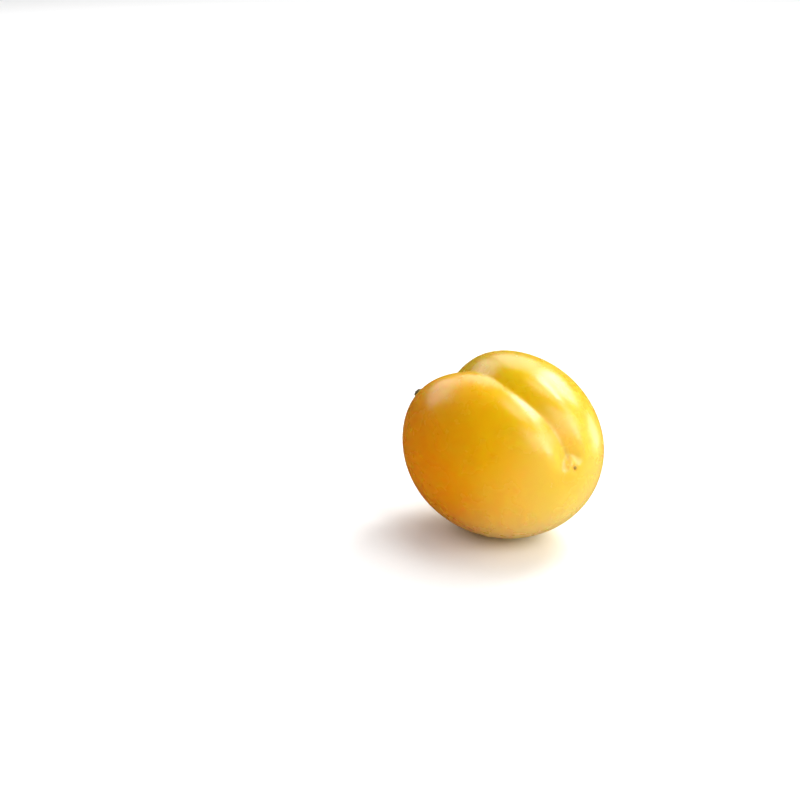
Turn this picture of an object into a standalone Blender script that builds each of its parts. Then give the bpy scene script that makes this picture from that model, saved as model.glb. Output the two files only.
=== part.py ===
"""A yellow plum lying on its side as picked, with its short stalk.

Metres, +Z up. The plum's long axis runs along X, with the blossom end at +X and the stalk at -X.
The origin is the middle of the small flat spot that the plum rests on.
"""

import math

import bmesh
import bpy
from mathutils import Euler, Vector

# Body of the fruit, before the suture and the stalk's hollow are pressed into it
BODY_LENGTH = 0.0460
CHEEK_WIDTH = 0.0373
SUTURE_TO_BACK = 0.0380
STALK_END_FULLNESS = 0.023

# Suture over most of its length: a crisp crease along the bottom of a broad valley
CREASE_DEPTH = 0.00138
CREASE_WIDTH = 0.00257
CREASE_ROUNDING = 0.2
CREASE_APEX_SHARE = 0.6
VALLEY_DEPTH = 0.00246
VALLEY_WIDTH = 0.0062
SUTURE_WANDER = 0.045
SUTURE_WANDER_WAVES = 3.0
SUTURE_WANDER_PHASE = 1.474
FAR_CHEEK_SWELL = 0.036

# Near the scar the suture is a groove with nearly straight sides, and it lies a little further over
GROOVE_NEAR_SLOPE = 0.40
GROOVE_FAR_SLOPE = 0.47
GROOVE_NEAR_WIDTH = 0.0046
GROOVE_EDGE = 0.0008
GROOVE_BOTTOM = 0.0004
GROOVE_DRIFT = 0.0006
GROOVE_REACH = 0.6

# Where the suture's depth changes, as shares of the way from the blossom end to the stalk end
CREASE_FULL_AT = 0.07
VALLEY_STARTS_AT = 0.16
VALLEY_FULL_AT = 0.84
SUTURE_FADES_FROM = 0.88
SUTURE_LEFT_AT_STALK = 0.25
GROOVE_FULL_AT = 0.05
GROOVE_FADES_FROM = 0.18
GROOVE_GONE_AT = 0.50
DRIFT_FULL_AT = 0.06
DRIFT_FADES_FROM = 0.15
DRIFT_GONE_AT = 0.33

# Hollow round the stalk, the plain hole that the stalk's root stands in, and the pit of the style's scar
HOLLOW_DEPTH = 0.0032
HOLLOW_RADIUS = 0.0042
SOCKET_RADIUS = 0.0015
SOCKET_DEPTH = 0.0016
SCAR_PIT_DEPTH = 0.00035
SCAR_PIT_RADIUS = 0.0008

# Stalk
STALK_CLEARANCE = 0.0003
STALK_ROOT_RADIUS = 0.0011
STALK_WAIST_RADIUS = 0.00072
STALK_TIP_RADIUS = 0.0012
STALK_LENGTH = 0.0140
STALK_RISE = 0.0048
STALK_SWAY = 0.0012

# How the plum lies
AXIS_LIFT = math.radians(3.6)
SUTURE_LEAN = math.radians(18.6)
REST_SPOT_SAG = 0.00032

# Mesh fineness
MERIDIANS = 88
RINGS = 46
MERIDIAN_CROWDING = 0.4
RING_CROWDING = 0.085
STALK_SIDES = 14
STALK_STATIONS = 22
SMOOTH_ANGLE = math.radians(40)

FRUIT_COLOUR = (0.83, 0.50, 0.03, 1.0)
STALK_COLOUR = (0.23, 0.20, 0.06, 1.0)


def smoothstep(low, high, value):
    """0 below low, 1 above high and an easy curve between."""
    share = min(max((value - low) / (high - low), 0.0), 1.0)
    return share * share * (3 - 2 * share)


def suture_turn(polar):
    """The suture's angle round the axis: it wanders a little from a straight meridian."""
    wave = math.sin(SUTURE_WANDER_WAVES * polar + SUTURE_WANDER_PHASE)
    return SUTURE_WANDER * wave * math.sin(polar)


def groove_depth(way, side):
    """The groove near the scar, side metres round from the suture. The near cheek's side is below 0."""
    slope = GROOVE_NEAR_SLOPE if side < 0 else GROOVE_FAR_SLOPE
    width = GROOVE_NEAR_WIDTH * GROOVE_NEAR_SLOPE / slope
    inward = (width - math.hypot(side, GROOVE_BOTTOM)) / GROOVE_EDGE
    return slope * GROOVE_EDGE * math.log1p(math.exp(inward)) * smoothstep(0.0, GROOVE_FULL_AT, way)


def suture_depth(polar, girth, off_suture):
    """How deep the skin lies under the body, off_suture radians round from the suture."""
    way = polar / math.pi
    drift = GROOVE_DRIFT * smoothstep(0.0, DRIFT_FULL_AT, way)
    drift *= 1 - smoothstep(DRIFT_FADES_FROM, DRIFT_GONE_AT, way)
    side = girth * off_suture - drift
    groove = groove_depth(way, side) * smoothstep(-GROOVE_REACH, GROOVE_REACH, math.cos(off_suture))
    groove_left = 1 - smoothstep(GROOVE_FADES_FROM, GROOVE_GONE_AT, way)
    stalkward = smoothstep(VALLEY_STARTS_AT, VALLEY_FULL_AT, way)
    crease = CREASE_DEPTH * (CREASE_APEX_SHARE + (1 - CREASE_APEX_SHARE) * stalkward)
    crease *= smoothstep(0.0, CREASE_FULL_AT, way)
    crease *= math.exp(CREASE_ROUNDING - math.hypot(side / CREASE_WIDTH, CREASE_ROUNDING))
    valley = VALLEY_DEPTH * stalkward * math.exp(-((side / VALLEY_WIDTH) ** 2))
    fade = 1 - (1 - SUTURE_LEFT_AT_STALK) * smoothstep(SUTURE_FADES_FROM, 1.0, way)
    return groove * groove_left + (crease + valley) * fade * (1 - groove_left)


def skin_point(polar, turn):
    """A point of the skin. polar is 0 at the blossom end and pi at the stalk. turn is 0 at the suture."""
    half_length = BODY_LENGTH / 2
    half_width = CHEEK_WIDTH / 2
    girth = half_width * math.sin(polar) * (1 - STALK_END_FULLNESS * math.cos(polar))
    off_suture = math.remainder(turn - suture_turn(polar), math.tau)
    depth = suture_depth(polar, girth, off_suture)

    # The suture is pressed in along the body's own normal
    normal_along = math.cos(polar) / half_length
    normal_out = math.sin(polar) / half_width
    normal_size = math.hypot(normal_along, normal_out)
    stalkward = smoothstep(VALLEY_STARTS_AT, VALLEY_FULL_AT, polar / math.pi)
    swell = 1 + FAR_CHEEK_SWELL * stalkward * max(math.sin(off_suture), 0.0) ** 2
    radius = girth * swell - depth * normal_out / normal_size
    along = half_length * math.cos(polar) - depth * normal_along / normal_size

    # The hollow at the stalk end, and the pit at the blossom end
    if polar > math.pi / 2:
        along += HOLLOW_DEPTH * math.exp(-((girth / HOLLOW_RADIUS) ** 2))
    else:
        along -= SCAR_PIT_DEPTH * math.exp(-((girth / SCAR_PIT_RADIUS) ** 2))
    return Vector((
        along,
        radius * math.sin(turn),
        radius * math.cos(turn) * SUTURE_TO_BACK / CHEEK_WIDTH,
    ))


def meridian_turns():
    """Angles round the axis, crowded together where the suture runs."""
    steps = [math.tau * i / MERIDIANS for i in range(MERIDIANS)]
    return [step - MERIDIAN_CROWDING * math.sin(step) for step in steps]


def ring_polars():
    """Angles from the blossom end to the socket's rim, crowded together at both ends."""
    last = math.pi - math.asin(SOCKET_RADIUS / (CHEEK_WIDTH / 2))
    shares = [i / RINGS for i in range(1, RINGS + 1)]
    return [last * (share - RING_CROWDING * math.sin(math.tau * share)) for share in shares]


def bridge(bm, first, second):
    """Joins two rings of as many vertices with quads."""
    for i in range(len(first)):
        bm.faces.new((first[i - 1], first[i], second[i], second[i - 1]))


def close_with_fan(bm, ring, tip):
    """Closes a ring with triangles that meet at a point."""
    centre = bm.verts.new(tip)
    for i in range(len(ring)):
        bm.faces.new((ring[i - 1], ring[i], centre))


def finished_object(name, bm, colour, roughness):
    """Turns a bmesh into a smooth-shaded object with a plain material of its own."""
    bmesh.ops.recalc_face_normals(bm, faces=bm.faces)
    mesh = bpy.data.meshes.new(name)
    bm.to_mesh(mesh)
    bm.free()
    mesh.shade_smooth()
    mesh.set_sharp_from_angle(angle=SMOOTH_ANGLE)
    material = bpy.data.materials.new(name)
    material.use_nodes = True
    shader = material.node_tree.nodes["Principled BSDF"]
    shader.inputs["Base Color"].default_value = colour
    shader.inputs["Roughness"].default_value = roughness
    shader.inputs["Metallic"].default_value = 0.0
    material.diffuse_color = colour
    mesh.materials.append(material)
    obj = bpy.data.objects.new(name, mesh)
    bpy.context.scene.collection.objects.link(obj)
    return obj


def fruit_bmesh():
    """The fruit as one closed skin: blossom end, rings, socket wall and socket floor."""
    bm = bmesh.new()
    turns = meridian_turns()
    rings = [
        [bm.verts.new(skin_point(polar, turn)) for turn in turns] for polar in ring_polars()
    ]
    for first, second in zip(rings, rings[1:]):
        bridge(bm, first, second)
    close_with_fan(bm, rings[0], skin_point(0.0, 0.0))

    # The socket's floor is square to the axis, a socket's depth in from the innermost point of the rim
    floor_along = max(vertex.co.x for vertex in rings[-1]) + SOCKET_DEPTH
    floor = [bm.verts.new((floor_along, vertex.co.y, vertex.co.z)) for vertex in rings[-1]]
    bridge(bm, rings[-1], floor)
    middle = sum((vertex.co for vertex in floor), Vector()) / len(floor)
    close_with_fan(bm, floor, middle)
    return bm, floor_along


def lying_rotation():
    """How the fruit is turned from its own axes to the way that it lies."""
    lift = Euler((0.0, -AXIS_LIFT, 0.0)).to_matrix()
    lean = Euler((SUTURE_LEAN, 0.0, 0.0)).to_matrix()
    return lift @ lean


def flatten_rest_spot(bm):
    """Cuts the small flat spot under the fruit, and returns its middle on the fruit's own axes."""
    turned = lying_rotation()
    lowest = min((vertex.co for vertex in bm.verts), key=lambda point: (turned @ point).z)
    up = turned.inverted() @ Vector((0.0, 0.0, 1.0))
    on_spot = lowest + up * REST_SPOT_SAG
    cut = bmesh.ops.bisect_plane(
        bm,
        geom=bm.verts[:] + bm.edges[:] + bm.faces[:],
        plane_co=on_spot,
        plane_no=-up,
        clear_outer=True,
    )
    rim = [item for item in cut["geom_cut"] if isinstance(item, bmesh.types.BMEdge)]
    spot = bmesh.ops.edgeloop_fill(bm, edges=rim)["faces"][0]
    return spot.calc_center_median_weighted()


def stalk_path(share):
    """A point on the stalk's middle line, from its root in the socket, 0, to its tip, 1."""
    return Vector((
        -STALK_LENGTH * share,
        STALK_SWAY * share * share,
        STALK_RISE * share * share,
    ))


def stalk_radius(share):
    """The stalk is thick at its root, slim for most of its length and flares where it left the twig."""
    root = (STALK_ROOT_RADIUS - STALK_WAIST_RADIUS) * math.exp(-((share / 0.16) ** 2))
    tip = (STALK_TIP_RADIUS - STALK_WAIST_RADIUS) * math.exp(-(((1 - share) / 0.11) ** 2))
    return STALK_WAIST_RADIUS + root + tip


def stalk_bmesh():
    """The stalk as a tube round its path, with a rounded edge and a low dome at the tip."""
    bm = bmesh.new()
    step = 1e-3
    rings = []
    for i in range(STALK_STATIONS + 1):
        share = i / STALK_STATIONS
        centre = stalk_path(share)
        tangent = (stalk_path(share + step) - stalk_path(share - step)).normalized()
        sideways = tangent.cross(Vector((0.0, 0.0, 1.0))).normalized()
        upward = sideways.cross(tangent)
        radius = stalk_radius(share)
        ring = []
        for k in range(STALK_SIDES):
            angle = math.tau * k / STALK_SIDES
            offset = sideways * math.cos(angle) + upward * math.sin(angle)
            ring.append(bm.verts.new(centre + offset * radius))
        rings.append(ring)
    for first, second in zip(rings, rings[1:]):
        bridge(bm, first, second)
    root_edges = [bm.edges.get((rings[0][k - 1], rings[0][k])) for k in range(STALK_SIDES)]
    bmesh.ops.edgeloop_fill(bm, edges=root_edges)

    # The torn tip: a narrower ring just past the last one, then a low dome
    outward = (stalk_path(1.0) - stalk_path(1.0 - step)).normalized()
    centre = stalk_path(1.0)
    lip = [
        bm.verts.new(centre + (vertex.co - centre) * 0.72 + outward * STALK_TIP_RADIUS * 0.3)
        for vertex in rings[-1]
    ]
    bridge(bm, rings[-1], lip)
    close_with_fan(bm, lip, centre + outward * STALK_TIP_RADIUS * 0.38)
    return bm


def build():
    for old in list(bpy.data.objects):
        bpy.data.objects.remove(old)

    fruit_mesh, socket_floor = fruit_bmesh()
    spot = flatten_rest_spot(fruit_mesh)

    # One empty carries the plum's axis. It is set so that the flat spot's middle is at the origin.
    axis = bpy.data.objects.new("plum_axis", None)
    bpy.context.scene.collection.objects.link(axis)
    axis.rotation_euler = (0.0, -AXIS_LIFT, 0.0)
    axis.location = -(lying_rotation() @ spot)

    fruit = finished_object("fruit", fruit_mesh, FRUIT_COLOUR, 0.32)
    fruit.parent = axis
    fruit.rotation_euler = (SUTURE_LEAN, 0.0, 0.0)

    stalk = finished_object("stalk", stalk_bmesh(), STALK_COLOUR, 0.7)
    stalk.parent = axis
    stalk.location = (socket_floor - STALK_CLEARANCE, 0.0, 0.0)


build()
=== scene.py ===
"""Looks for a yellow plum lying on its side as picked, with its short stalk, on a white studio floor."""

import math

import bmesh
import bpy
import numpy as np
from mathutils import Euler, Matrix, Vector


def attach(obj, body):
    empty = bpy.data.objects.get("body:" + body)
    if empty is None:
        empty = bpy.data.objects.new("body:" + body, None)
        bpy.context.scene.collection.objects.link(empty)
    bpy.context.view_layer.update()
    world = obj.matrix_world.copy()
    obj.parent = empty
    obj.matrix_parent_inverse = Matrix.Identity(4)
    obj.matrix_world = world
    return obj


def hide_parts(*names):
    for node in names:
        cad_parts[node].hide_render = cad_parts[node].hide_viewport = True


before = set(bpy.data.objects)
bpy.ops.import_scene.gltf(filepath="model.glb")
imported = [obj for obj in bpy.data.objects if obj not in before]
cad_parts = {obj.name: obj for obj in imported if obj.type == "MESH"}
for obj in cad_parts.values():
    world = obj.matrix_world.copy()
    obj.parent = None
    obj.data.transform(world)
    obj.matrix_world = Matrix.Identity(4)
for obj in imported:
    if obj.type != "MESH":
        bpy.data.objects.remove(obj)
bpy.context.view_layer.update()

TAU = math.tau
MM_PER_M = 1000.0

# Body of the fruit, in metres, before the suture and the stalk's hollow are pressed into it
HALF_LENGTH = 0.0230
HALF_WIDTH = 0.01865
SUTURE_TO_BACK = 0.0380 / 0.0373
STALK_END_FULLNESS = 0.023

# Suture: a crisp crease along the bottom of a broad valley, which deepens towards the stalk
CREASE_DEPTH = 0.00138
CREASE_WIDTH = 0.00257
CREASE_ROUNDING = 0.2
CREASE_APEX_SHARE = 0.6
VALLEY_DEPTH = 0.00246
VALLEY_WIDTH = 0.0062
SUTURE_WANDER = 0.045
SUTURE_WANDER_WAVES = 3.0
SUTURE_WANDER_PHASE = 1.474
FAR_CHEEK_SWELL = 0.036
CREASE_FULL_AT = 0.07
VALLEY_STARTS_AT = 0.16
VALLEY_FULL_AT = 0.84
SUTURE_FADES_FROM = 0.88
SUTURE_LEFT_AT_STALK = 0.25

# Near the scar the suture is a groove with nearly straight sides, and it lies a little further over
GROOVE_NEAR_SLOPE = 0.40
GROOVE_FAR_SLOPE = 0.47
GROOVE_NEAR_WIDTH = 0.0046
GROOVE_EDGE = 0.0008
GROOVE_BOTTOM = 0.0004
GROOVE_FULL_AT = 0.05
GROOVE_FADES_FROM = 0.18
GROOVE_GONE_AT = 0.50
GROOVE_DRIFT = 0.0006
GROOVE_REACH = 0.6
DRIFT_FULL_AT = 0.06
DRIFT_FADES_FROM = 0.15
DRIFT_GONE_AT = 0.33

# Hollow round the stalk, the hole that its root stands in, and the pit and stub of the style's scar
HOLLOW_DEPTH = 0.0032
HOLLOW_RADIUS = 0.0042
HOLLOW_FOLDS = 11
HOLLOW_FOLD_DEPTH = 0.00018
SOCKET_RADIUS = 0.0015
SOCKET_DEPTH = 0.0016
SCAR_PIT_DEPTH = 0.00035
SCAR_PIT_RADIUS = 0.0008
SCAR_STUB_HEIGHT = 0.00022
SCAR_STUB_RADIUS = 0.00030
SCAR_ASIDE = 0.00050
SCAR_BELOW = 0.00027
NOWHERE_NEAR_SCAR = 1.0

# Shallow unevenness of the skin, drawn from a seeded generator
UNEVENNESS = 0.00006
UNEVEN_WAVES = 14
UNEVEN_SEED = 11
SLOWEST_WAVE = 3.0
QUICKEST_WAVE = 9.0
UNEVEN_FROM_AXIS = 0.004

# How the plum lies: where the body's centre is above the flat spot, and how the fruit is turned
FRUIT_CENTRE = Vector((0.0010735, -0.000182, 0.0186834))
AXIS_LIFT = math.radians(3.6)
SUTURE_LEAN = math.radians(18.6)

# Stalk, on the plum's axis. Places along it are shares of its length
STALK_START = -0.0175337
STALK_ROOT_RADIUS = 0.0011
STALK_WAIST_RADIUS = 0.00072
STALK_TIP_RADIUS = 0.0012
STALK_LENGTH = 0.0140
STALK_RISE = 0.0048
STALK_SWAY = 0.0012
ROOT_FLARE_REACH = 0.16
TIP_FLARE_REACH = 0.11
COLLAR_AT = 0.115
COLLAR_WIDTH = 0.045
COLLAR_SWELL = 0.0008

# Bark's relief: heights are shares of the stalk's radius, and twists are radians over its length
BARK_LEVEL = 0.955
BROAD_RIBS = 5
BROAD_RIB_HEIGHT = 0.030
BROAD_RIB_TWIST = 3.0
FINE_RIBS = 9
FINE_RIB_HEIGHT = 0.018
FINE_RIB_TWIST = -5.0
KNOT_HEIGHT = 0.030
KNOT_PACE = 23
KNOT_TWIST = 9

# The stalk's torn tip: its rough lip and the shallow dish in its end
TORN_ROUGHNESS = 0.05
TORN_WAVES = 7
TORN_PHASE = 1.3
TORN_FROM = 0.92
TORN_LIP_ROUGHNESS = 0.35
TORN_LIP_WAVES = 6
DISH_DEPTH = 0.03
PAST_THE_TIP = 1.05

# Mesh fineness
MERIDIANS = 256
RINGS = 210
MERIDIAN_CROWDING = 0.4
RING_CROWDING = 0.11
STALK_SIDES = 40
STALK_STATIONS = 120

# The photograph's camera: which way it looks, how far off it is and where the plum sits in its picture
CAMERA_TURN = math.radians(56.4)
CAMERA_ELEVATION = math.radians(17.0)
CAMERA_DISTANCE = 0.404
PLUM_RIGHT_OF_MIDDLE = 0.020743
PLUM_BELOW_MIDDLE = 0.008928
LENS_MM = 90.0
SENSOR_MM = 36.0

RIGHT = Vector((math.cos(CAMERA_TURN), math.sin(CAMERA_TURN), 0.0))
AHEAD = Vector((-math.sin(CAMERA_TURN), math.cos(CAMERA_TURN), 0.0))
UP = Vector((0.0, 0.0, 1.0))

# Painted shade: the way to the cheek and underside turned from the light, which are painted the most amber,
# and how fast the colour turns, per metre
PAINTED_SHADE_HEADING = RIGHT * -0.93 + AHEAD * -0.30 + UP * -0.20
PAINTED_SHADE_PACE = 50.0

# Floor: wide enough for its edge to be out of sight, and just clear of the flat spot
FLOOR_RADIUS = 12.0
FLOOR_SIDES = 96
FLOOR_CLEARANCE = 0.00002

# Surroundings: one broad pale glow low on the right, from dim to bright radiance. It starts and is
# full at these cosines of the angle from its middle
GLOW_AZIMUTH = 118.0
GLOW_ELEVATION = -30.0
GLOW_STARTS_AT = -0.25
GLOW_FULL_AT = 1.10
DIM_SIDE = 0.03
BRIGHT_SIDE = 1.6

# Lights: how far each one stands from what it faces, and the floor behind the plum that one of them fills
LIGHT_DISTANCE = 1.0
FAR_FLOOR = AHEAD * 1.4


def smoothstep(low, high, value):
    """0 below low, 1 above high and an easy curve between."""
    share = np.clip((value - low) / (high - low), 0.0, 1.0)
    return share * share * (3 - 2 * share)


def lying_matrix():
    """From the fruit's own axes to the row frame."""
    lean = Euler((SUTURE_LEAN, 0.0, 0.0)).to_matrix().to_4x4()
    return axis_matrix() @ lean


def axis_matrix():
    """From the plum's axis, before the fruit is leaned over, to the row frame."""
    lift = Euler((0.0, -AXIS_LIFT, 0.0)).to_matrix().to_4x4()
    return Matrix.Translation(FRUIT_CENTRE) @ lift


def moved(points, matrix):
    """Points turned and shifted by a 4 by 4 matrix."""
    whole = np.array(matrix)
    return points @ whole[:3, :3].T + whole[:3, 3]


def unevenness(points):
    """Low smooth waves in directions and phases drawn once from a seeded generator."""
    draw = np.random.default_rng(UNEVEN_SEED)
    unit = points / np.linalg.norm(points, axis=-1, keepdims=True)
    total = np.zeros(points.shape[:-1])
    for _ in range(UNEVEN_WAVES):
        heading = draw.normal(size=3)
        heading /= np.linalg.norm(heading)
        pace = draw.uniform(SLOWEST_WAVE, QUICKEST_WAVE)
        phase = draw.uniform(0.0, TAU)
        total += np.sin(pace * (unit @ heading) + phase) * SLOWEST_WAVE / pace
    return total / math.sqrt(UNEVEN_WAVES) * UNEVENNESS


def suture_depth(way, girth, off_suture):
    """How deep the suture is pressed in, and how far each point lies from its line."""
    drift = GROOVE_DRIFT * smoothstep(0.0, DRIFT_FULL_AT, way)
    drift = drift * (1 - smoothstep(DRIFT_FADES_FROM, DRIFT_GONE_AT, way))
    aside = girth * off_suture - drift

    stalkward = smoothstep(VALLEY_STARTS_AT, VALLEY_FULL_AT, way)
    crease = CREASE_DEPTH * (CREASE_APEX_SHARE + (1 - CREASE_APEX_SHARE) * stalkward)
    crease = crease * smoothstep(0.0, CREASE_FULL_AT, way)
    crease = crease * np.exp(CREASE_ROUNDING - np.hypot(aside / CREASE_WIDTH, CREASE_ROUNDING))
    valley = VALLEY_DEPTH * stalkward * np.exp(-((aside / VALLEY_WIDTH) ** 2))
    fade = 1 - (1 - SUTURE_LEFT_AT_STALK) * smoothstep(SUTURE_FADES_FROM, 1.0, way)

    slope = np.where(aside < 0, GROOVE_NEAR_SLOPE, GROOVE_FAR_SLOPE)
    groove_width = GROOVE_NEAR_WIDTH * GROOVE_NEAR_SLOPE / slope
    inward = (groove_width - np.hypot(aside, GROOVE_BOTTOM)) / GROOVE_EDGE
    groove = slope * GROOVE_EDGE * np.logaddexp(0.0, inward) * smoothstep(0.0, GROOVE_FULL_AT, way)
    groove = groove * smoothstep(-GROOVE_REACH, GROOVE_REACH, np.cos(off_suture))
    groove_left = 1 - smoothstep(GROOVE_FADES_FROM, GROOVE_GONE_AT, way)
    depth = groove * groove_left + (crease + valley) * fade * (1 - groove_left)
    return depth, aside


def skin(polar, turn):
    """Points of the skin on the fruit's own axes, and how far each lies from the suture and the scar."""
    girth = HALF_WIDTH * np.sin(polar) * (1 - STALK_END_FULLNESS * np.cos(polar))
    wander = np.sin(SUTURE_WANDER_WAVES * polar + SUTURE_WANDER_PHASE) * np.sin(polar)
    off_suture = np.mod(turn + math.pi, TAU) - math.pi - SUTURE_WANDER * wander
    way = polar / math.pi
    depth, aside = suture_depth(way, girth, off_suture)

    normal_along = np.cos(polar) / HALF_LENGTH
    normal_out = np.sin(polar) / HALF_WIDTH
    normal_size = np.hypot(normal_along, normal_out)
    stalkward = smoothstep(VALLEY_STARTS_AT, VALLEY_FULL_AT, way)
    swell = 1 + FAR_CHEEK_SWELL * stalkward * np.clip(np.sin(off_suture), 0.0, 1.0) ** 2
    radius = girth * swell - depth * normal_out / normal_size
    along = HALF_LENGTH * np.cos(polar) - depth * normal_along / normal_size

    stalk_half = polar > math.pi / 2
    folds = HOLLOW_DEPTH + HOLLOW_FOLD_DEPTH * np.sin(HOLLOW_FOLDS * turn + 2 * np.sin(3 * turn))
    hollow = folds * np.exp(-((girth / HOLLOW_RADIUS) ** 2))
    from_scar = np.hypot(girth * np.sin(turn) - SCAR_ASIDE, girth * np.cos(turn) + SCAR_BELOW)
    pit = SCAR_PIT_DEPTH * np.exp(-((from_scar / SCAR_PIT_RADIUS) ** 2))
    stub = SCAR_STUB_HEIGHT * np.exp(-((from_scar / SCAR_STUB_RADIUS) ** 4))
    along = along + np.where(stalk_half, hollow, stub - pit)
    points = np.stack(
        [along, radius * np.sin(turn), radius * np.cos(turn) * SUTURE_TO_BACK], axis=-1
    )

    lift = unevenness(points) * smoothstep(0.0, UNEVEN_FROM_AXIS, girth)
    points = points + points / np.linalg.norm(points, axis=-1, keepdims=True) * lift[..., None]
    return points, aside, from_scar + np.where(stalk_half, NOWHERE_NEAR_SCAR, 0.0)


def new_object(name, bm, material):
    """A smooth-shaded object from a bmesh, riding on the root body."""
    mesh = bpy.data.meshes.new(name)
    bm.to_mesh(mesh)
    bm.free()
    mesh.shade_smooth()
    mesh.materials.append(material)
    obj = bpy.data.objects.new(name, mesh)
    bpy.context.scene.collection.objects.link(obj)
    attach(obj, "root")
    return obj


def grid_faces(bm, rings):
    """Quads between each ring of vertices and the next."""
    for first, second in zip(rings, rings[1:]):
        for i in range(len(first)):
            bm.faces.new((first[i - 1], first[i], second[i], second[i - 1]))


def fan_faces(bm, ring, tip):
    """Triangles from a ring to one vertex."""
    for i in range(len(ring)):
        bm.faces.new((ring[i - 1], ring[i], tip))


def cut_flat_spot(bm):
    """Cuts off what is below the floor and closes the cut, which is the spot that the plum rests on."""
    cut = bmesh.ops.bisect_plane(
        bm,
        geom=bm.verts[:] + bm.edges[:] + bm.faces[:],
        plane_co=(0.0, 0.0, 0.0),
        plane_no=(0.0, 0.0, -1.0),
        clear_outer=True,
    )
    rim = [item for item in cut["geom_cut"] if isinstance(item, bmesh.types.BMEdge)]
    bmesh.ops.edgeloop_fill(bm, edges=rim)


def make_fruit(material):
    """The fruit, finer than its solid and with the scar's stub and the hollow's folds."""
    steps = np.arange(MERIDIANS) * TAU / MERIDIANS
    turns = steps - MERIDIAN_CROWDING * np.sin(steps)
    last = math.pi - math.asin(SOCKET_RADIUS / HALF_WIDTH)
    shares = np.arange(1, RINGS + 1) / RINGS
    polars = last * (shares - RING_CROWDING * np.sin(TAU * shares))
    polar, turn = np.meshgrid(polars, turns, indexing="ij")
    points, aside, from_scar = skin(polar, turn)
    apex, _, apex_from_scar = skin(np.array([1e-6]), np.array([0.0]))

    bm = bmesh.new()
    way_layer = bm.verts.layers.float.new("way")
    aside_layer = bm.verts.layers.float.new("aside")
    scar_layer = bm.verts.layers.float.new("from_scar")
    matrix = lying_matrix()
    placed = moved(points, matrix)
    rings = []
    for ring_points, ring_aside, ring_scar, ring_polar in zip(placed, aside, from_scar, polars):
        ring = []
        for point, off, gap in zip(ring_points, ring_aside, ring_scar):
            vertex = bm.verts.new(point)
            vertex[way_layer] = ring_polar / math.pi
            vertex[aside_layer] = off * MM_PER_M
            vertex[scar_layer] = gap * MM_PER_M
            ring.append(vertex)
        rings.append(ring)
    grid_faces(bm, rings)
    pole = bm.verts.new(moved(apex, matrix)[0])
    pole[scar_layer] = apex_from_scar[0] * MM_PER_M
    fan_faces(bm, rings[0], pole)

    # Socket wall and floor
    floor_points = points[-1].copy()
    floor_points[:, 0] = floor_points[:, 0].max() + SOCKET_DEPTH
    floor = [bm.verts.new(point) for point in moved(floor_points, matrix)]
    centre = bm.verts.new(moved(floor_points.mean(axis=0), matrix))
    for vertex in floor + [centre]:
        vertex[way_layer] = 1.0
        vertex[scar_layer] = NOWHERE_NEAR_SCAR * MM_PER_M
    grid_faces(bm, [rings[-1], floor])
    fan_faces(bm, floor, centre)

    cut_flat_spot(bm)
    bmesh.ops.recalc_face_normals(bm, faces=bm.faces)
    return new_object("fruit_skin", bm, material)


def stalk_middle(share):
    """Points on the stalk's middle line, on the plum's axis."""
    return np.stack(
        [
            STALK_START - STALK_LENGTH * share,
            STALK_SWAY * share**2,
            STALK_RISE * share**2,
        ],
        axis=-1,
    )


def stalk_radius(along, angle):
    """The stalk's radius: flared ends, a collar in the hollow, ribs, small knots and a rough tip."""
    root = (STALK_ROOT_RADIUS - STALK_WAIST_RADIUS) * np.exp(-((along / ROOT_FLARE_REACH) ** 2))
    tip = (STALK_TIP_RADIUS - STALK_WAIST_RADIUS) * np.exp(-(((1 - along) / TIP_FLARE_REACH) ** 2))
    collar = COLLAR_SWELL * np.exp(-(((along - COLLAR_AT) / COLLAR_WIDTH) ** 2))
    broad_ribs = BROAD_RIB_HEIGHT * np.sin(BROAD_RIBS * angle + BROAD_RIB_TWIST * along)
    fine_ribs = FINE_RIB_HEIGHT * np.sin(FINE_RIBS * angle + FINE_RIB_TWIST * along)
    knots = np.sin(KNOT_PACE * along + 2 * np.sin(angle)) * np.sin(2 * angle + KNOT_TWIST * along)
    knots = knots * KNOT_HEIGHT
    rough_tip = TORN_ROUGHNESS * np.sin(TORN_WAVES * angle + TORN_PHASE)
    rough_tip = rough_tip * smoothstep(TORN_FROM, 1.0, along)
    relief = BARK_LEVEL + broad_ribs + fine_ribs + knots + rough_tip
    return (STALK_WAIST_RADIUS + root + tip + collar) * relief


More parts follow.
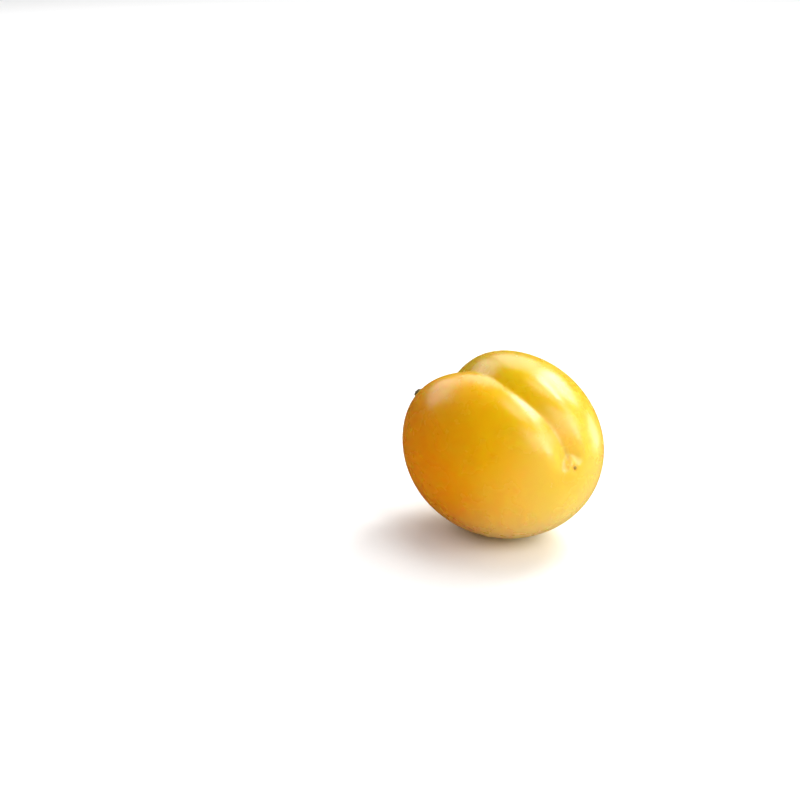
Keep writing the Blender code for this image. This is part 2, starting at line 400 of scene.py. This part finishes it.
def make_stalk(material):
    """The stalk, with a collar in the hollow, lengthwise ribs, small knots and a torn tip."""
    shares = np.linspace(0.0, 1.0, STALK_STATIONS)
    middle = stalk_middle(shares)
    tangent = np.gradient(middle, axis=0)
    tangent /= np.linalg.norm(tangent, axis=-1, keepdims=True)
    sideways = np.cross(tangent, UP)
    sideways /= np.linalg.norm(sideways, axis=-1, keepdims=True)
    upward = np.cross(sideways, tangent)

    angle = np.arange(STALK_SIDES)[None, :] * TAU / STALK_SIDES
    radius = stalk_radius(shares[:, None], angle)
    across = sideways[:, None] * np.cos(angle)[..., None] + upward[:, None] * np.sin(angle)[..., None]
    points = middle[:, None] + across * radius[..., None]

    # The torn end: a rough lip that turns in to a shallow dish, as (width, reach, roughness) of each ring
    end, out = middle[-1], tangent[-1]
    turned_in = [(0.86, 0.10, 0.6), (0.66, 0.13, 1.0), (0.42, 0.03, 1.0), (0.20, -0.02, 0.6)]
    caps = []
    for width, reach, roughness in turned_in:
        ragged = 1 + TORN_LIP_ROUGHNESS * roughness * np.sin(TORN_LIP_WAVES * angle[0] + 9 * width)
        ring = end + (points[-1] - end) * width
        caps.append(ring + out * STALK_TIP_RADIUS * reach * ragged[:, None])
    points = np.concatenate([points, np.stack(caps)])

    bm = bmesh.new()
    way_layer = bm.verts.layers.float.new("way")
    matrix = axis_matrix()
    ring_shares = np.concatenate([shares, np.full(len(caps), PAST_THE_TIP)])
    rings = []
    for ring_points, share in zip(moved(points, matrix), ring_shares):
        ring = [bm.verts.new(point) for point in ring_points]
        for vertex in ring:
            vertex[way_layer] = share
        rings.append(ring)
    grid_faces(bm, rings)
    dish = end - out * STALK_TIP_RADIUS * DISH_DEPTH
    for ring, centre, share in ((rings[0], middle[0], 0.0), (rings[-1], dish, PAST_THE_TIP)):
        vertex = bm.verts.new(moved(centre, matrix))
        vertex[way_layer] = share
        fan_faces(bm, ring, vertex)
    bmesh.ops.recalc_face_normals(bm, faces=bm.faces)
    return new_object("stalk_bark", bm, material)


class Nodes:
    """Short calls for building one material's nodes."""

    def __init__(self, name):
        self.material = bpy.data.materials.new(name)
        self.material.use_nodes = True
        self.tree = self.material.node_tree
        self.shader = self.tree.nodes["Principled BSDF"]
        self.place = self.add("ShaderNodeTexCoord").outputs["Object"]

    def add(self, kind, **settings):
        """A new node with its settings."""
        node = self.tree.nodes.new(kind)
        for key, value in settings.items():
            setattr(node, key, value)
        return node

    def feed(self, socket, value):
        """Links a socket to another, or sets its number or colour."""
        if isinstance(value, bpy.types.NodeSocket):
            self.tree.links.new(value, socket)
        else:
            socket.default_value = value

    def math(self, operation, first, second=0.0):
        """One sum on one or two values."""
        node = self.add("ShaderNodeMath", operation=operation)
        self.feed(node.inputs[0], first)
        self.feed(node.inputs[1], second)
        return node.outputs[0]

    def attribute(self, name):
        """A vertex layer's value."""
        return self.add("ShaderNodeAttribute", attribute_name=name).outputs["Fac"]

    def stretched(self, scale):
        """The place on the object, scaled along each axis."""
        node = self.add("ShaderNodeVectorMath", operation="MULTIPLY")
        self.feed(node.inputs[0], self.place)
        node.inputs[1].default_value = scale
        return node.outputs[0]

    def noise(self, scale, detail=2.0, roughness=0.5, stretch=(1, 1, 1), distortion=0.0):
        """Cloudy noise from 0 to 1."""
        node = self.add("ShaderNodeTexNoise")
        self.feed(node.inputs["Vector"], self.stretched(stretch))
        node.inputs["Scale"].default_value = scale
        node.inputs["Detail"].default_value = detail
        node.inputs["Roughness"].default_value = roughness
        node.inputs["Distortion"].default_value = distortion
        return node.outputs["Fac"]

    def wobble(self, scale, detail, reach):
        """Noise about 0, for uneven borders."""
        return self.math("MULTIPLY", self.math("SUBTRACT", self.noise(scale, detail), 0.5), reach)

    def dots(self, scale, inner, outer, stretch=(1, 1, 1)):
        """Round dots scattered over the surface: 1 within inner and 0 past outer."""
        node = self.add("ShaderNodeTexVoronoi", feature="F1")
        self.feed(node.inputs["Vector"], self.stretched(stretch))
        node.inputs["Scale"].default_value = scale
        return self.ramp(node.outputs["Distance"], inner, outer, 1.0, 0.0)

    def ramp(self, value, low, high, to_low=0.0, to_high=1.0):
        """An easy curve from to_low, at low, to to_high, at high."""
        node = self.add("ShaderNodeMapRange", interpolation_type="SMOOTHSTEP")
        self.feed(node.inputs["Value"], value)
        node.inputs["From Min"].default_value = low
        node.inputs["From Max"].default_value = high
        node.inputs["To Min"].default_value = to_low
        node.inputs["To Max"].default_value = to_high
        return node.outputs["Result"]

    def both(self, first, second):
        """Where two masks meet."""
        return self.math("MULTIPLY", first, second)

    def mix(self, share, under, over):
        """One colour over another, where share is 1."""
        node = self.add("ShaderNodeMix", data_type="RGBA")
        self.feed(node.inputs["Factor"], share)
        self.feed(node.inputs["A"], under)
        self.feed(node.inputs["B"], over)
        return node.outputs["Result"]

    def bump(self, height, strength, distance, normal=None):
        """A bump of this distance in metres, on top of another one."""
        node = self.add("ShaderNodeBump")
        self.feed(node.inputs["Height"], height)
        node.inputs["Strength"].default_value = strength
        node.inputs["Distance"].default_value = distance
        if normal is not None:
            self.feed(node.inputs["Normal"], normal)
        return node.outputs["Normal"]


def colour(red, green, blue):
    """A linear colour, opaque."""
    return (red, green, blue, 1.0)


def painted_shade_colour(n):
    """Lemon, then gold, then amber: painted shade that deepens the colour towards the cheek and underside
    turned from the light, with soft uneven borders.
    """
    lemon = colour(0.63, 0.412, 0.001)
    gold = colour(0.75, 0.405, 0.0005)
    amber = colour(0.74, 0.250, 0.0002)
    # Painted shade: the colour deepens from lemon to amber towards the cheek and underside turned from the
    # light
    toward = n.add("ShaderNodeVectorMath", operation="DOT_PRODUCT")
    n.feed(toward.inputs[0], n.place)
    toward.inputs[1].default_value = PAINTED_SHADE_HEADING.normalized() * PAINTED_SHADE_PACE
    painted_shade = n.math("ADD", toward.outputs["Value"], n.wobble(90.0, 3.0, 0.3))
    painted_shade = n.ramp(painted_shade, -0.50, 0.95)
    base = n.mix(n.ramp(painted_shade, 0.0, 0.5), lemon, gold)
    return n.mix(n.ramp(painted_shade, 0.45, 1.0), base, amber)


def with_streaks(n, base):
    """Faint deeper streaks along the fruit, and soft pale mottling."""
    streaks = n.noise(900.0, 3.0, 0.6, stretch=(0.10, 1.0, 1.0), distortion=0.3)
    base = n.mix(n.ramp(streaks, 0.42, 0.66, 0.0, 0.08), base, colour(0.64, 0.38, 0.001))
    mottle = n.noise(260.0, 4.0, 0.55)
    return n.mix(n.ramp(mottle, 0.50, 0.72, 0.0, 0.06), base, colour(0.74, 0.57, 0.003))


def with_suture_shade(n, base, way):
    """Painted shade along the suture: deeper yellow in its crease and groove, and a thin dull line on the
    groove's wall that runs into the scar.
    """
    aside = n.math("ABSOLUTE", n.attribute("aside"))
    # Painted shade: deeper yellow in the crease along the suture
    suture_shade = n.ramp(aside, 0.2, 2.6, 0.45, 0.0)
    base = n.mix(suture_shade, base, colour(0.70, 0.42, 0.001))
    # Painted shade: deeper yellow inside the groove near the scar
    groove_shade = n.both(n.ramp(aside, 0.6, 3.4, 0.45, 0.0), n.ramp(way, 0.13, 0.30, 1.0, 0.0))
    base = n.mix(groove_shade, base, colour(0.70, 0.40, 0.0005))
    # Painted shade: a thin dull line on the groove's wall, running into the scar
    groove_wall_shade = n.both(n.ramp(aside, 0.10, 0.75, 0.30, 0.0), n.ramp(way, 0.04, 0.13, 1.0, 0.0))
    return n.mix(groove_wall_shade, base, colour(0.42, 0.24, 0.02))


def with_hollow(n, base, way):
    """Greener towards the stalk, with russet streaks."""
    base = n.mix(n.ramp(way, 0.86, 0.985, 0.0, 0.55), base, colour(0.55, 0.47, 0.04))
    russet = n.ramp(n.noise(1300.0, 4.0, 0.7, stretch=(0.3, 1.0, 1.0)), 0.50, 0.66)
    russet = n.both(russet, n.ramp(way, 0.93, 0.99, 0.0, 0.6))
    return n.mix(russet, base, colour(0.30, 0.17, 0.05))


def with_scar(n, base, from_scar):
    """A dark brown stub with a thin dull ring."""
    base = n.mix(n.ramp(from_scar, 0.35, 0.95, 0.45, 0.0), base, colour(0.50, 0.28, 0.01))
    return n.mix(n.ramp(from_scar, 0.22, 0.46, 0.90, 0.0), base, colour(0.16, 0.085, 0.010))


def skin_material():
    """Ripe yellow skin, which glows a little, with faint pale specks and a thin bloom."""
    n = Nodes("plum_skin")
    way = n.attribute("way")
    base = with_streaks(n, painted_shade_colour(n))

    speck = n.dots(620.0, 0.06, 0.13)
    chosen = n.ramp(n.noise(340.0, 1.0), 0.52, 0.60, 0.0, 0.16)
    base = n.mix(n.both(speck, chosen), base, colour(0.70, 0.60, 0.03))
    base = with_suture_shade(n, base, way)
    base = with_hollow(n, base, way)
    bloom = n.ramp(n.noise(120.0, 3.0, 0.6), 0.45, 0.75, 0.0, 0.03)
    base = n.mix(bloom, base, colour(0.80, 0.72, 0.12))
    from_scar = n.math("ADD", n.attribute("from_scar"), n.wobble(2600.0, 2.0, 0.5))
    base = with_scar(n, base, from_scar)
    n.feed(n.shader.inputs["Base Color"], base)

    roughness = n.math("ADD", n.ramp(n.noise(200.0, 3.0), 0.3, 0.7, 0.23, 0.29), bloom)
    roughness = n.math("ADD", roughness, n.ramp(from_scar, 0.35, 0.60, 0.4, 0.0))
    n.feed(n.shader.inputs["Roughness"], roughness)
    n.shader.inputs["IOR"].default_value = 1.60
    n.shader.inputs["Subsurface Weight"].default_value = 1.0
    n.shader.inputs["Subsurface Radius"].default_value = (1.0, 0.42, 0.06)
    n.shader.inputs["Subsurface Scale"].default_value = 0.004
    peel = n.bump(n.noise(1500.0, 2.0), 0.07, 0.00008)
    n.feed(n.shader.inputs["Normal"], n.bump(speck, 0.07, 0.00005, peel))
    return n.material


def bark_material():
    """Thin green-brown bark, browner at the torn tip, with lengthwise fibres and small pale pores."""
    n = Nodes("plum_stalk")
    way = n.attribute("way")
    fibres = n.noise(2600.0, 4.0, 0.65, stretch=(0.08, 1.0, 1.0))
    base = n.mix(n.ramp(fibres, 0.35, 0.65), colour(0.16, 0.135, 0.035), colour(0.34, 0.27, 0.085))
    patches = n.noise(500.0, 3.0, 0.6)
    base = n.mix(n.ramp(patches, 0.45, 0.68, 0.0, 0.7), base, colour(0.21, 0.115, 0.045))
    pore = n.dots(2100.0, 0.10, 0.24, stretch=(0.6, 1.0, 1.0))
    base = n.mix(n.math("MULTIPLY", pore, 0.5), base, colour(0.50, 0.40, 0.22))
    base = n.mix(n.ramp(way, 0.80, 0.97, 0.0, 0.8), base, colour(0.115, 0.065, 0.030))
    base = n.mix(n.ramp(way, 1.00, 1.04), base, colour(0.30, 0.20, 0.10))
    n.feed(n.shader.inputs["Base Color"], base)
    n.feed(n.shader.inputs["Roughness"], n.ramp(patches, 0.3, 0.7, 0.55, 0.80))
    n.feed(n.shader.inputs["Normal"], n.bump(fibres, 0.5, 0.00012))
    return n.material


def floor_material():
    """Matt white studio paper with a very faint tooth."""
    n = Nodes("studio_floor")
    tooth = n.mix(n.noise(700.0, 3.0), colour(0.84, 0.84, 0.84), colour(0.86, 0.86, 0.86))
    n.feed(n.shader.inputs["Base Color"], tooth)
    n.shader.inputs["Roughness"].default_value = 0.8
    n.shader.inputs["Specular IOR Level"].default_value = 0.2
    return n.material


def make_floor():
    """A very large flat floor. The skin mirrors the surroundings' soft glow in place of it."""
    bm = bmesh.new()
    bmesh.ops.create_circle(bm, cap_ends=True, segments=FLOOR_SIDES, radius=FLOOR_RADIUS)
    mesh = bpy.data.meshes.new("studio_floor")
    bm.to_mesh(mesh)
    bm.free()
    mesh.materials.append(floor_material())
    floor = bpy.data.objects.new("studio_floor", mesh)
    floor.location = (0.0, 0.0, -FLOOR_CLEARANCE)
    bpy.context.scene.collection.objects.link(floor)
    floor.visible_glossy = False


def studio_direction(azimuth, elevation):
    """A direction in the studio: azimuth 0 is straight ahead of the camera, 90 to its right, in degrees."""
    turn, lift = math.radians(azimuth), math.radians(elevation)
    level = AHEAD * math.cos(turn) + RIGHT * math.sin(turn)
    return level * math.cos(lift) + UP * math.sin(lift)


def softbox(name, azimuth, elevation, width, height, radiance, mirrored=True, aim=FRUIT_CENTRE):
    """A rectangular light that faces its aim from LIGHT_DISTANCE. radiance is what its aim sees of it."""
    light = bpy.data.lights.new(name, "AREA")
    light.shape = "RECTANGLE"
    light.size = width
    light.size_y = height
    light.energy = math.pi * width * height * radiance
    obj = bpy.data.objects.new(name, light)
    direction = studio_direction(azimuth, elevation)
    obj.location = aim + direction * LIGHT_DISTANCE
    obj.visible_glossy = mirrored
    obj.rotation_mode = "QUATERNION"
    obj.rotation_quaternion = direction.to_track_quat("Z", "Y")
    bpy.context.scene.collection.objects.link(obj)


def make_world():
    """Dim surroundings with one broad pale glow. The camera itself sees plain white."""
    world = bpy.data.worlds.new("studio")
    world.use_nodes = True
    bpy.context.scene.world = world
    tree = world.node_tree
    background = tree.nodes["Background"]
    background.inputs["Color"].default_value = (1.0, 1.0, 1.0, 1.0)
    place = tree.nodes.new("ShaderNodeTexCoord")
    dot = tree.nodes.new("ShaderNodeVectorMath")
    dot.operation = "DOT_PRODUCT"
    tree.links.new(place.outputs["Generated"], dot.inputs[0])
    dot.inputs[1].default_value = studio_direction(GLOW_AZIMUTH, GLOW_ELEVATION)
    ramp = tree.nodes.new("ShaderNodeMapRange")
    ramp.interpolation_type = "SMOOTHSTEP"
    tree.links.new(dot.outputs["Value"], ramp.inputs["Value"])
    ramp.inputs["From Min"].default_value = GLOW_STARTS_AT
    ramp.inputs["From Max"].default_value = GLOW_FULL_AT
    ramp.inputs["To Min"].default_value = DIM_SIDE
    ramp.inputs["To Max"].default_value = BRIGHT_SIDE
    path = tree.nodes.new("ShaderNodeLightPath")
    choose = tree.nodes.new("ShaderNodeMix")
    tree.links.new(path.outputs["Is Camera Ray"], choose.inputs["Factor"])
    tree.links.new(ramp.outputs["Result"], choose.inputs["A"])
    choose.inputs["B"].default_value = 1.0
    tree.links.new(choose.outputs["Result"], background.inputs["Strength"])


def make_camera():
    """The photograph's camera."""
    data = bpy.data.cameras.new("camera")
    data.lens = LENS_MM
    data.sensor_width = SENSOR_MM
    data.clip_start = 0.01
    data.clip_end = 50.0
    camera = bpy.data.objects.new("camera", data)
    look = AHEAD * math.cos(CAMERA_ELEVATION) - UP * math.sin(CAMERA_ELEVATION)
    down = AHEAD * -math.sin(CAMERA_ELEVATION) - UP * math.cos(CAMERA_ELEVATION)
    place = FRUIT_CENTRE - RIGHT * PLUM_RIGHT_OF_MIDDLE - down * PLUM_BELOW_MIDDLE - look * CAMERA_DISTANCE
    turned = Matrix((RIGHT, -down, -look)).transposed()
    camera.matrix_world = Matrix.Translation(place) @ turned.to_4x4()
    bpy.context.scene.collection.objects.link(camera)
    bpy.context.scene.camera = camera


fruit = make_fruit(skin_material())
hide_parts("fruit")
stalk = make_stalk(bark_material())
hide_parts("stalk")

make_floor()
make_world()
softbox("key_softbox", 49.0, 52.0, 0.50, 0.20, 12.8)
softbox("side_softbox", 115.0, 32.0, 0.50, 0.50, 4.8)
softbox("cheek_softbox", 86.0, 39.0, 0.26, 0.62, 2.6)
softbox("right_behind_softbox", 152.0, 38.0, 0.60, 0.60, 2.1)
softbox("back_left_softbox", -38.0, 28.0, 0.74, 0.42, 1.8)
softbox("back_softbox", 3.0, 34.0, 0.48, 0.56, 1.9)
softbox("back_right_softbox", 38.0, 32.0, 0.46, 0.35, 6.4)
softbox("top_softbox", 80.0, 76.0, 0.50, 0.50, 2.3)
softbox("rim_softbox", 54.0, 0.0, 0.36, 0.34, 2.8)
softbox("front_fill", 178.0, 26.0, 0.80, 0.60, 1.2, mirrored=False)
softbox("front_left_fill", -104.0, 38.0, 0.80, 0.60, 0.9, mirrored=False)
softbox("top_fill", 20.0, 66.0, 0.80, 0.60, 1.6, mirrored=False)
softbox("far_floor_fill", 0.0, 90.0, 1.60, 0.80, 1.8, mirrored=False, aim=FAR_FLOOR)
softbox("right_fill", 110.0, 30.0, 0.80, 0.50, 0.5, mirrored=False)
make_camera()
bpy.context.scene.view_settings.view_transform = "Standard"
